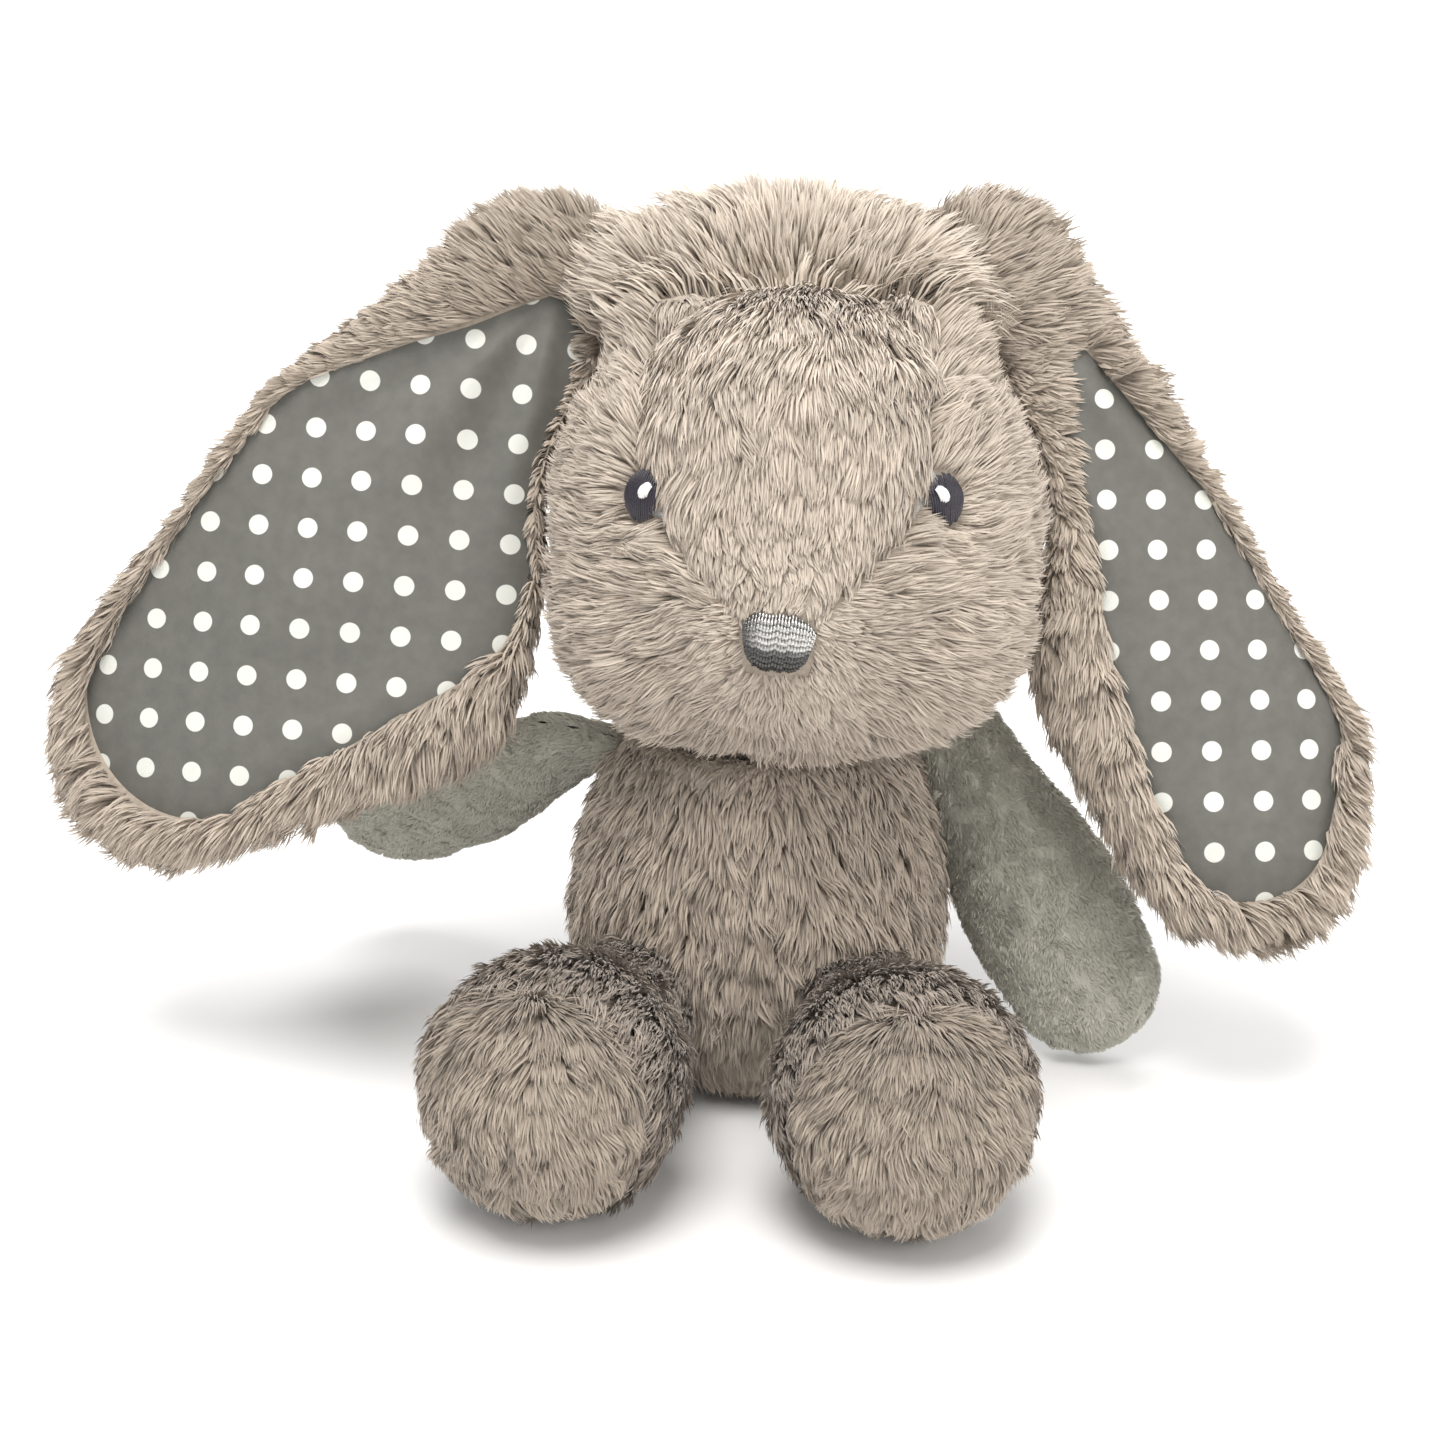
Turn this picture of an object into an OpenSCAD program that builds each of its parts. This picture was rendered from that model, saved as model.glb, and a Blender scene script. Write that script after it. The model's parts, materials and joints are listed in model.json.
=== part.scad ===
// Seated plush rabbit with long dotted ears.
// It faces -Y and rests on the XY plane, with the middle of its seat at the origin.

/* [Body] */
// Radius of the torso at its widest
torso_r = 41; // [39:0.5:42]
// Height of the torso from the table to the neck
torso_h = 80; // [78:0.5:81]
// Thickness of plush cloth with its pile
plush_t = 3; // [2:0.5:3.5]
// Radius of the tail
tail_r = 14; // [10:1:16]

/* [Head] */
// Radius of the head
head_r = 52; // [50:0.5:52.5]
// Height of the middle of the head above the table
head_z = 126; // [126:1:130]
// How far the head sits to the rabbit's left
head_x = 7; // [0:1:9]
// How far the face is turned to the rabbit's right, in degrees
face_turn = 5; // [0:1:8]
// Width of an embroidered eye
eye_w = 8; // [6:0.5:9]
// Height of an embroidered eye
eye_h = 11; // [8:0.5:12]
// Width of the embroidered nose at its top
nose_w = 16; // [12:1:18]
// Height of the embroidered nose
nose_h = 14.5; // [10:0.5:15]

/* [Ears] */
// Thickness of the plush back of an ear
ear_back_t = 6; // [4:0.5:7]
// Thickness of the cloth lining of an ear
lining_t = 1.2; // [0.8:0.1:1.5]

/* [Arms] */
// Length of an arm from the shoulder to the middle of its round end
arm_len = 62; // [58:1:62]
// Radius of the round end of an arm
arm_end_r = 17; // [14:0.5:17]
// Thickness of an arm as a part of its width
arm_flatness = 0.46; // [0.4:0.02:0.5]

/* [Legs] */
// Radius of the ball of a foot
foot_r = 27; // [24:0.5:27.5]
// Length of a leg from the hip to the middle of the foot
leg_len = 48; // [45:1:50]
// Radius of a leg at the hip
hip_r = 15; // [13:0.5:15.5]

/* [Hidden] */
$fn = 64;

plush = [0.74, 0.68, 0.63];
plush_light = [0.80, 0.75, 0.70];
satin = [0.50, 0.50, 0.48];
minky = [0.55, 0.56, 0.52];
filling = [0.93, 0.93, 0.90];

// Larger than the whole toy, for cutting in half.
far = 400;
// Space between the filling and the cloth.
slack = 0.3;
// Space between pieces that move.
gap = 0.6;
// How much narrower a straight part starts than the ball it grows from.
seam_step = 0.4;

/* Torso */

// Height of the lower edge of the torso cloth above the table.
hem_z = 0.6;
seat_r = torso_r - 15;
neck_r = torso_r - 13;
profile_steps = 14;
// Radius of the torso at a fraction t of its height.
function torso_at(t) = seat_r + 2 + (torso_r - seat_r - 2) * pow(sin(180 * pow(t, 0.72)), 0.85)
    + (neck_r - seat_r - 2) * t * t;
function torso_side(inset) = [for (i = [0:profile_steps]) let (t = i / profile_steps)
    [torso_at(t) - inset, hem_z + inset + t * (torso_h - hem_z - 2 * inset)]];

/* Head */

head_at = [head_x, -2, head_z];
inner_r = head_r - plush_t;
muzzle_at = [0, -26, -8];
muzzle_r = head_r - 22;
crown_r = 20;
crown_at = [-4.75, 24.9, 45.5];
crown_half = 9;
// The head pivots on the neck below its middle.
neck_drop = 31;
nod_at = head_at - [0, 0, neck_drop];
neck_ball_r = 14;
neck_stem_r = 9;
neck_foot_r = 15;
neck_foot_z = 62;
// The neck opening leaves room for this angle, a little more than the head nods.
nod_room = 10;
eye_x = 30;
eye_y = -36;
eye_z = 16.5;
// The stitched face sits a little to the rabbit's left.
eye_shift = 3;
function eye_turn(side) = side * atan2(eye_x + side * eye_shift, -eye_y);
eye_lift = asin(eye_z / norm([eye_x, eye_y, eye_z]));
eye_proud = 1.2;
eye_sunk = 0.8;
glint_w = 2.6;
glint_h = 4;
nose_z = -0.5;
nose_proud = 1.6;
nose_sunk = 0.6;

/* Ears, drawn flat in a plane that leans back by this angle, as seen square to it */

ear_lean = 22;
ear_behind = -2;
// Circles [x, y, r] whose common outline is the ear, from the root to the tip, from the middle of the head.
ear_left_outline = [[41.3, 54.5, 15], [74, -2, 21], [98, -48, 26], [97, -65, 25.5], [67, -32, 15]];
ear_left_window = [[60, 34, 4], [78, -3, 15], [101, -48, 19], [97.5, -63.5, 18.5], [76, -34, 8]];
ear_right_outline = [[-52, 53.5, 17], [-90, 3, 36], [-136, -45, 28], [-84, -31, 24]];
ear_right_window = [[-50, 45, 5], [-92, 2, 31], [-130, -38, 26.5], [-70, -17, 14]];
ear_left_bend_r = 65;
ear_right_bend_r = 130;
ear_left_bend_x = 62;
ear_right_bend_x = -92;
ear_left_bend_turn = -25;
ear_right_bend_turn = 0;

/* Arms */

shoulder_left = [44, 6, 72];
shoulder_right = [-44, 6, 71];
shoulder_r = 11;
arm_wide_at = 0.68;
// Thickness of the arm cloth, measured across the width.
arm_cloth_t = 3.4;
// Turns about X, Y and Z that bring a hanging arm to its place.
arm_left_turn = [-14, -29, 0];
arm_right_turn = [32, 52.5, 0];
arm_left_twist = 0;
arm_right_twist = 25;

/* Legs */

// The lap is turned a little, so the left hip is further forward.
hip_left = [21.5, -30, 25];
hip_right = [-26, -26, 25];
leg_left_out = 8;
leg_right_out = 21;
leg_rise = 3;
leg_neck_r = hip_r + 4;
sole_from = 9;
splay_out = 15;
splay_in = 4;

// What lies on the front, back, left or right side of the plane through the middle.
module front_half(y = 0) translate([-far, y - 2 * far, -far]) cube(2 * far);
module back_half(y = 0) translate([-far, y, -far]) cube(2 * far);

/* The torso */

module torso_form(inset = 0) rotate_extrude()
    polygon(concat([[0, hem_z + inset]], torso_side(inset), [[0, torso_h - inset]]));

module seat_disc(wider = 0, taller = 0) cylinder(r = seat_r - 2 + wider, h = plush_t + hem_z + taller);

// What must stay open at the top of the torso: the head's travel and the neck.
module torso_rooms() {
    translate(head_at) sphere(head_r + 3);
    neck_form(gap);
}

module torso_shell() difference() {
    torso_form();
    torso_form(plush_t);
    translate([0, 0, torso_h - 2 * plush_t]) cylinder(r = neck_r - plush_t - 1, h = 3 * plush_t);
    translate([0, 0, -1]) seat_disc(slack / 3, 2);
    torso_rooms();
    leg_room(1);
    leg_room(-1);
}

module torso_front() color(plush) intersection() {
    torso_shell();
    front_half();
}

module torso_back() color(plush) difference() {
    intersection() {
        torso_shell();
        back_half();
    }
    tail_form(0.05);
}

module seat_panel() color(plush) seat_disc();

module tail_form(grow = 0) translate([0, torso_r + tail_r * 0.7, tail_r + 4]) sphere(tail_r + grow);

module tail() color(plush_light) tail_form();

// The pouch of beads lies on the seat, in a hollow of the filling.
pouch_r = 11;
module pouch_form(inset = 0) translate([0, 6, hem_z + plush_t + pouch_r + 0.1]) sphere(pouch_r - inset);

// The filling ends under the foot of the neck, below the shoulders.
module torso_stuffing() color(filling) difference() {
    torso_form(plush_t + slack, $fn = 40);
    translate([-far, -far, neck_foot_z - gap]) cube(2 * far);
    for (side = [-1, 1]) translate(hip_at(side)) sphere(hip_r + 2.6, $fn = 40);
    pouch_form(-slack);
}

module bead_pouch() color(minky) difference() {
    pouch_form();
    pouch_form(1);
}

module bead_fill() color([0.85, 0.85, 0.88]) pouch_form(1 + slack / 3);

/* The neck */

module neck_form(grow = 0) {
    translate(nod_at) sphere(neck_ball_r + grow);
    translate([head_at.x, head_at.y, neck_foot_z - grow])
        cylinder(r = neck_stem_r + grow, h = nod_at.z - neck_foot_z);
    translate([head_at.x, head_at.y, neck_foot_z - grow])
        cylinder(r = neck_foot_r + grow, h = 5 + 2 * grow);
}

module neck_stuffing() color(filling) neck_form();

/* The head, drawn about its own middle with the face along -Y */

module head_place() translate(head_at) rotate([0, 0, -face_turn]) children();

module head_form(inset = 0) {
    sphere(head_r - inset);
    translate(muzzle_at) sphere(muzzle_r - inset);
    for (side = [-1, 1])
        translate(crown_at + [side * crown_half, 0, 0]) sphere(crown_r - inset);
    translate(crown_at) rotate([0, 90, 0])
        cylinder(r = crown_r - inset - seam_step, h = 2 * crown_half, center = true);
}

// Opening in the underside, wide enough for the neck over the whole nod.
module neck_room() translate([0, 0, -neck_drop]) {
    sphere(neck_ball_r + gap);
    rotate([180, 0, 0])
        cylinder(r1 = neck_stem_r + 2, r2 = neck_stem_r + 2 + head_r * sin(nod_room), h = head_r);
}

module head_shell() difference() {
    head_form();
    head_form(plush_t);
    neck_room();
    eye_pocket(1);
    eye_pocket(-1);
    nose_form(0.05, plush_t);
}

// The centre strip of the face, wide at the crown and narrow at the nose.
module gusset_zone() translate([0, 4, 0]) rotate([90, 0, 0]) linear_extrude(far)
    polygon([[-28, head_r], [28, head_r], [29, 18], [10, -3], [-10, -3], [-29, 18]]);

module face_gusset() color(plush_light) head_place() intersection() {
    head_shell();
    gusset_zone();
}

module cheek(side) color(plush) head_place() difference() {
    intersection() {
        head_shell();
        front_half(4);
        translate([side > 0 ? 0 : -far, -far, -far]) cube([far, 2 * far, 2 * far]);
    }
    gusset_zone();
}

module cheek_left() cheek(1);
module cheek_right() cheek(-1);

module head_back() color(plush) head_place() intersection() {
    head_shell();
    back_half(4);
}

module head_stuffing() color(filling) head_place() difference() {
    sphere(inner_r - slack);
    neck_room();
}

// An oval plug square to the head at one eye, between two radii.
module eye_plug(side, w, h, from_r, to_r, toward_nose = 0, up = 0) intersection() {
    rotate([0, 0, eye_turn(side)]) rotate([-eye_lift, 0, 0]) translate([-side * toward_nose, 0, up])
        rotate([90, 0, 0]) scale([w / 2, h / 2, 1]) cylinder(r = 1, h = far / 4);
    difference() {
        sphere(to_r);
        sphere(from_r);
    }
}

module eye_pocket(side) eye_plug(side, eye_w + 0.1, eye_h + 0.1, head_r - eye_sunk - 0.25, head_r + 5);

module eye(side) color([0.13, 0.11, 0.15]) head_place() difference() {
    eye_plug(side, eye_w, eye_h, head_r - eye_sunk, head_r + eye_proud);
    eye_plug(side, glint_w + 0.1, glint_h + 0.1, head_r + eye_proud - 0.55, head_r + 5, 1.4, 1.5);
}

module eye_glint(side) color("white") head_place()
    eye_plug(side, glint_w, glint_h, head_r + eye_proud - 0.5, head_r + eye_proud + 0.5, 1.4, 1.5);

module eye_left() eye(1);
module eye_right() eye(-1);
module eye_glint_left() eye_glint(1);
module eye_glint_right() eye_glint(-1);

// A curved plate with a flat-sided outline that narrows downward.
module nose_form(grow = 0, deeper = 0) intersection() {
    translate([0, 0, nose_z]) rotate([90, 0, 0]) linear_extrude(far)
        offset(r = 3 + grow) offset(r = -3)
        polygon([[-nose_w / 2, 0], [nose_w / 2, 0], [nose_w * 0.36, -nose_h], [-nose_w * 0.36, -nose_h]]);
    translate(muzzle_at) difference() {
        sphere(muzzle_r + nose_proud + grow * 20);
        sphere(muzzle_r - nose_sunk - deeper);
    }
}

module nose() color([0.75, 0.76, 0.78]) head_place() nose_form();

/* The ears */

module ear_place() translate(head_at) rotate([-ear_lean, 0, 0]) translate([0, ear_behind, 0]) children();

module ear_outline(circles) hull() for (c = circles) translate([c.x, c.y]) circle(c.z);

// The part of a bent sheet that lies inside an outline, from depth near to depth far_depth behind the bend.
module ear_sheet(circles, bend_x, bend_r, bend_turn, near, deep) intersection() {
    rotate([90, 0, 0]) linear_extrude(far, center = true) ear_outline(circles);
    translate([bend_x, bend_r, 0]) rotate([0, bend_turn, 0]) difference() {
        cylinder(r = bend_r - near, h = far, center = true, $fn = 180);
        cylinder(r = bend_r - deep, h = 2 * far, center = true, $fn = 180);
    }
    translate([-far, -far, -far]) cube([2 * far, far + bend_r * 0.8, 2 * far]);
}

// The inner edge of an ear follows the round of the head.
module ear_beside_head() difference() {
    children();
    translate([0, -ear_behind, 0]) sphere(head_r + gap);
}

module ear_left_sheet(circles, near, deep)
    ear_sheet(circles, ear_left_bend_x, ear_left_bend_r, ear_left_bend_turn, near, deep);

module ear_right_sheet(circles, near, deep)
    ear_sheet(circles, ear_right_bend_x, ear_right_bend_r, ear_right_bend_turn, near, deep);

module ear_left_back() color(plush) ear_place() ear_beside_head()
    ear_left_sheet(ear_left_outline, 0, ear_back_t);
module ear_left_lining() color(satin) ear_place() ear_left_sheet(ear_left_window, -lining_t, 0);
module ear_right_back() color(plush) ear_place() ear_beside_head()
    ear_right_sheet(ear_right_outline, 0, ear_back_t);
module ear_right_lining() color(satin) ear_place() ear_right_sheet(ear_right_window, -lining_t, 0);

/* The arms, drawn hanging along -Z from the shoulder */

module arm_profile(inset = 0) intersection() {
    union() {
        circle(shoulder_r - inset);
        translate([0, arm_len]) circle(arm_end_r - inset);
        polygon([[0, 0], [shoulder_r - inset - seam_step, 0], [arm_end_r + 1.5 - inset, arm_len * arm_wide_at],
            [arm_end_r - inset - seam_step, arm_len], [0, arm_len]]);
    }
    translate([0, -far]) square(2 * far);
}

module arm_revolved() scale([1, arm_flatness, 1]) mirror([0, 0, 1]) rotate_extrude() children();

module arm_place(shoulder, turn, twist) translate(shoulder) rotate(turn) rotate([0, 0, twist]) children();

module arm_shell() arm_revolved() difference() {
    arm_profile();
    arm_profile(arm_cloth_t);
}

module arm_filling() color(filling) arm_revolved($fn = 36) arm_profile(arm_cloth_t + 2 * slack);

module arm_panel(shoulder, turn, twist) color(minky) arm_place(shoulder, turn, twist) intersection() {
    arm_shell();
    children();
}

module arm_left_front() arm_panel(shoulder_left, arm_left_turn, arm_left_twist) front_half();
module arm_left_back() arm_panel(shoulder_left, arm_left_turn, arm_left_twist) back_half();
module arm_left_stuffing()
    arm_place(shoulder_left, arm_left_turn, arm_left_twist) arm_filling();
module arm_right_front() arm_panel(shoulder_right, arm_right_turn, arm_right_twist) front_half();
module arm_right_back() arm_panel(shoulder_right, arm_right_turn, arm_right_twist) back_half();
module arm_right_stuffing()
    arm_place(shoulder_right, arm_right_turn, arm_right_twist) arm_filling();

/* The legs, drawn along -Y from the hip */

function hip_at(side) = side > 0 ? hip_left : hip_right;
function leg_out(side) = side > 0 ? leg_left_out : leg_right_out;

module leg_place(side, more = 0) translate(hip_at(side))
    rotate([0, 0, side * (leg_out(side) + more)]) rotate([-leg_rise, 0, 0]) children();

module leg_profile(inset = 0) intersection() {
    union() {
        circle(hip_r - inset);
        translate([0, leg_len]) circle(foot_r - inset);
        polygon([[0, 0], [hip_r - inset - seam_step, 0], [leg_neck_r - inset, leg_len], [0, leg_len]]);
    }
    translate([0, -far]) square(2 * far);
}

// The cloth of the leg, between two distances from the hip.
module leg_cloth(from, to) rotate([90, 0, 0]) rotate_extrude() intersection() {
    difference() {
        leg_profile();
        leg_profile(plush_t);
    }
    translate([0, from]) square([far, to - from]);
}

// What the leg sweeps in the torso over its travel, with running room round it.
module leg_room(side) for (more = [-splay_in, (splay_out - splay_in) / 2, splay_out]) leg_place(side, more) {
    sphere(hip_r + gap);
    rotate([90, 0, 0]) cylinder(r1 = hip_r + gap - seam_step, r2 = leg_neck_r + gap, h = leg_len / 2);
}

module leg_cover(side) color(plush) leg_place(side) leg_cloth(-far, leg_len + sole_from);
module leg_sole(side) color(plush_light) leg_place(side) leg_cloth(leg_len + sole_from, far);
module leg_stuffing(side) color(filling) leg_place(side)
    rotate([90, 0, 0]) rotate_extrude() leg_profile(plush_t + slack);

module leg_left_cover() leg_cover(1);
module leg_left_sole() leg_sole(1);
module leg_left_stuffing() leg_stuffing(1);
module leg_right_cover() leg_cover(-1);
module leg_right_sole() leg_sole(-1);
module leg_right_stuffing() leg_stuffing(-1);

torso_front();
torso_back();
seat_panel();
torso_stuffing();
bead_pouch();
bead_fill();
tail();
neck_stuffing();
face_gusset();
cheek_left();
cheek_right();
head_back();
head_stuffing();
eye_left();
eye_right();
eye_glint_left();
eye_glint_right();
nose();
ear_left_back();
ear_left_lining();
ear_right_back();
ear_right_lining();
arm_left_front();
arm_left_back();
arm_left_stuffing();
arm_right_front();
arm_right_back();
arm_right_stuffing();
leg_left_cover();
leg_left_sole();
leg_left_stuffing();
leg_right_cover();
leg_right_sole();
leg_right_stuffing();
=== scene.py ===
"""Seated plush rabbit: fur, dotted ear cloth, minky arms and embroidery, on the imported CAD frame.

Lengths are in millimetres until a mesh is made.
"""

import json
import math

import bmesh
import bpy
import numpy as np
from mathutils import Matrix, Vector
from mathutils.kdtree import KDTree


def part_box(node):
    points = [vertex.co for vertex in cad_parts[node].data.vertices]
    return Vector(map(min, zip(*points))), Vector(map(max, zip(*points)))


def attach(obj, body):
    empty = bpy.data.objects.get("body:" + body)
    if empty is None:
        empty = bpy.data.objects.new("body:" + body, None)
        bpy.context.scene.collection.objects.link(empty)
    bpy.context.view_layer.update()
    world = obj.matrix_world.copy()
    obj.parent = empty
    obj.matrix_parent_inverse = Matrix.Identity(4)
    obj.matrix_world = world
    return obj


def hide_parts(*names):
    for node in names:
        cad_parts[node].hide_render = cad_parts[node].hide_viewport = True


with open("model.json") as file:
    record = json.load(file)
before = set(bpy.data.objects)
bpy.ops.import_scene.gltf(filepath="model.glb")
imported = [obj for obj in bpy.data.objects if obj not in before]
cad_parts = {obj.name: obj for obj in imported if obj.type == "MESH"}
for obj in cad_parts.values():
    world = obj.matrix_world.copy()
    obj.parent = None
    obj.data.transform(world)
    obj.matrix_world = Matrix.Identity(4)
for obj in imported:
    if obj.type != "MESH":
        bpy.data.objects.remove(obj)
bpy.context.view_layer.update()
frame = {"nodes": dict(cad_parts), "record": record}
MM = 0.001
ABOVE_FLOOR = 0.15  # nothing of the fur goes lower
DENSITY = 1.0  # of the strands of fur


# ---------------------------------------------------------------- small maths


def unit(v):
    return v / np.maximum(np.linalg.norm(v, axis=-1, keepdims=True), 1e-9)


def rot(axis, degrees):
    a = math.radians(degrees)
    c, s = math.cos(a), math.sin(a)
    return np.array(
        {
            "x": [[1, 0, 0], [0, c, -s], [0, s, c]],
            "y": [[c, 0, s], [0, 1, 0], [-s, 0, c]],
            "z": [[c, -s, 0], [s, c, 0], [0, 0, 1]],
        }[axis]
    )


def step(a, b, x):
    t = np.clip((x - a) / (b - a), 0, 1)
    return t * t * (3 - 2 * t)


def soft_max(values, k):
    """A smooth largest value along the last axis."""
    top = values.max(-1, keepdims=True)
    return top[..., 0] + k * np.log(np.exp((values - top) / k).sum(-1))


def waves(p, seed, scale, octaves=3):
    """A smooth seeded noise of positions, about -1 to 1."""
    r = np.random.default_rng(seed)
    out, total = np.zeros(len(p)), 0
    for o in range(octaves):
        for _ in range(5):
            d = unit(r.normal(size=3))
            f = r.uniform(0.7, 1.4) * 2**o / scale
            out += np.sin(p @ d * f * 2 * np.pi + r.uniform(0, 6.28)) / 2**o
            total += 0.45 / 2**o
    return out / total


# ---------------------------------------------------------------- meshes


def collection_link(ob):
    bpy.context.scene.collection.objects.link(ob)
    return ob


def mesh_object(
    name, verts, quads=None, tris=None, materials=(), quad_mat=None, tri_mat=None, attrs=None, uv=None
):
    """A smooth mesh from arrays, in millimetres. attrs and uv are per vertex."""
    quads = np.zeros((0, 4), int) if quads is None else np.asarray(quads)
    tris = np.zeros((0, 3), int) if tris is None else np.asarray(tris)
    me = bpy.data.meshes.new(name)
    me.vertices.add(len(verts))
    me.vertices.foreach_set("co", (np.asarray(verts) * MM).astype(np.float32).ravel())
    loops = np.concatenate([quads.ravel(), tris.ravel()]).astype(np.int32)
    me.loops.add(len(loops))
    me.loops.foreach_set("vertex_index", loops)
    me.polygons.add(len(quads) + len(tris))
    starts = np.concatenate([np.arange(len(quads)) * 4, len(quads) * 4 + np.arange(len(tris)) * 3])
    me.polygons.foreach_set("loop_start", starts.astype(np.int32))
    me.polygons.foreach_set("use_smooth", np.full(len(me.polygons), True))
    for m in materials:
        me.materials.append(m)
    if tri_mat is not None:
        index = [np.broadcast_to(quad_mat or 0, len(quads)), np.broadcast_to(tri_mat, len(tris))]
        me.polygons.foreach_set("material_index", np.concatenate(index).astype(np.int32))
    me.update(calc_edges=True)
    for key, values in (attrs or {}).items():
        a = me.attributes.new(key, "FLOAT", "POINT")
        a.data.foreach_set("value", np.asarray(values, np.float32))
    if uv is not None:
        layer = me.uv_layers.new(name="cloth")
        layer.data.foreach_set("uv", np.asarray(uv, np.float32)[loops].ravel())
    return collection_link(bpy.data.objects.new(name, me))


def vertex_normals(v, tris):
    n = np.zeros_like(v)
    f = np.cross(v[tris[:, 1]] - v[tris[:, 0]], v[tris[:, 2]] - v[tris[:, 0]])
    for i in range(3):
        np.add.at(n, tris[:, i], f)
    return unit(n)


def ball(level):
    """Unit directions and triangles of an icosphere."""
    bm = bmesh.new()
    bmesh.ops.create_icosphere(bm, subdivisions=level, radius=1)
    bm.verts.ensure_lookup_table()
    v = np.array([x.co[:] for x in bm.verts])
    t = np.array([[x.index for x in f.verts] for f in bm.faces])
    bm.free()
    return unit(v), t


def grid_quads(rows, around):
    """The faces of a grid of closed rings."""
    i, j = np.meshgrid(np.arange(rows - 1), np.arange(around), indexing="ij")
    k = (j + 1) % around
    corners = [i * around + j, i * around + k, (i + 1) * around + k, (i + 1) * around + j]
    return np.stack(corners, -1).reshape(-1, 4)


def split(quads):
    """Two triangles of each quad."""
    return np.concatenate([quads[:, [0, 1, 2]], quads[:, [0, 2, 3]]])


def revolved(radius, height, around):
    """Vertices and triangles of rings along +Z, with a radius and a height per ring."""
    a = np.arange(around) * 2 * np.pi / around
    z = np.broadcast_to(height[:, None], (len(radius), around))
    v = np.stack([radius[:, None] * np.cos(a), radius[:, None] * np.sin(a), z], -1).reshape(-1, 3)
    return v, split(grid_quads(len(radius), around))


def keep_faces(v, tris, mask):
    """The triangles in the mask, with only the vertices they use."""
    used, inverse = np.unique(tris[mask], return_inverse=True)
    return v[used], inverse.reshape(-1, 3)


def sample(v, normals, tris, n, rng):
    """n random points on the triangles, their smooth normals, and the area of all the triangles."""
    a, b, c = v[tris[:, 0]], v[tris[:, 1]], v[tris[:, 2]]
    area = np.linalg.norm(np.cross(b - a, c - a), axis=1) / 2
    pick = rng.choice(len(tris), n, p=area / area.sum())
    u, w = rng.random((2, n, 1))
    flip = (u + w) > 1
    u, w = np.where(flip, 1 - u, u), np.where(flip, 1 - w, w)
    t = tris[pick]
    p = v[t[:, 0]] * (1 - u - w) + v[t[:, 1]] * u + v[t[:, 2]] * w
    nn = unit(normals[t[:, 0]] * (1 - u - w) + normals[t[:, 1]] * u + normals[t[:, 2]] * w)
    return p, nn, area.sum()


# ---------------------------------------------------------------- fur


def turn_about(v, axis, angle):
    c, s = np.cos(angle)[:, None], np.sin(angle)[:, None]
    return v * c + np.cross(axis, v) * s + axis * (v * axis).sum(1, keepdims=True) * (1 - c)


def strands(
    p, n, nap, length, lift, rng, area, width=0.38, pitch=2.6, pull=0.5, curve=60.0, messy=8.0, sway=14.0
):
    """Tapered strands of pile in clumps, rooted at the points p of a cloth with normals n.

    nap is the way they are brushed, and lift their angle from the cloth. pitch is the distance of the
    clumps, pull how far a strand leans to the middle of its clump, curve the radius it droops on. messy
    and sway are the spread of the directions. Angles are in degrees.
    Returns vertices, quads, triangles, tone (0 root to 1 tip) and tint (-2 to 2).
    """
    count = len(p)
    nap = unit(nap - n * (nap * n).sum(1, keepdims=True))
    clumps = max(4, min(count, int(area / pitch**2)))
    centre = rng.choice(count, clumps, replace=False)
    tree = KDTree(clumps)
    for i, q in enumerate(p[centre]):
        tree.insert(q, i)
    tree.balance()
    own = np.fromiter((tree.find(q)[1] for q in p), int, count)
    length = np.broadcast_to(np.asarray(length, float), count)
    lift = np.radians(np.broadcast_to(np.asarray(lift, float), count))
    nap = turn_about(nap, n, np.radians(sway * waves(p, 77, 17.0, 2)))
    lock = waves(p, 78, 9.0, 2)
    clump_turn = np.radians(rng.normal(0, messy, clumps))
    clump_lift = np.radians(rng.normal(0, messy * 0.55, clumps))
    clump_len = rng.uniform(0.78, 1.16, clumps)
    clump_tint = rng.normal(0, 0.42, clumps)
    nap = turn_about(nap, n, clump_turn[own] + np.radians(rng.normal(0, messy * 0.6, count)))
    up = lift * (1 + 0.3 * lock) + clump_lift[own] + np.radians(rng.normal(0, 5, count))
    up = np.clip(up, 0.05, 1.45)
    long = length * clump_len[own] * rng.uniform(0.82, 1.1, count)
    away = p - p[centre][own]
    away -= n * (away * n).sum(1, keepdims=True)
    points = [p - n * 0.4]
    at = p.copy()
    for part, rise in ((0.34, 1.55), (0.33, 1.0), (0.33, 0.5)):
        angle = np.clip(up * rise, 0.02, 1.5)[:, None]
        at = at + (n * np.sin(angle) + nap * np.cos(angle)) * (long * part)[:, None]
        points.append(at)
    for i, s in ((1, 0.34), (2, 0.67), (3, 1.0)):
        points[i] = points[i] - away * (pull * s**1.3) - n * ((long * s) ** 2 / (2 * curve))[:, None]
    side = unit(np.cross(points[2] - points[0], n))
    side = turn_about(side, unit(points[3] - points[0]), rng.normal(0, 0.55, count))
    wide = (width * rng.uniform(0.75, 1.25, count) * 0.5)[:, None]
    rows = []
    for i, k in ((0, 0.8), (1, 1.0), (2, 0.72)):
        rows += [points[i] - side * wide * k, points[i] + side * wide * k]
    rows.append(points[3])
    v = np.stack(rows, 1).reshape(-1, 3)
    base = np.arange(count)[:, None] * 7
    quads = np.concatenate([base + [0, 1, 3, 2], base + [2, 3, 5, 4]])
    tris = base + [4, 5, 6]
    tone = np.tile([0, 0, 0.4, 0.4, 0.75, 0.75, 1.0], count)
    tint = np.repeat(np.clip(clump_tint[own] + rng.normal(0, 0.4, count), -2, 2), 7)
    return v, quads, tris, tone, tint


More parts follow.
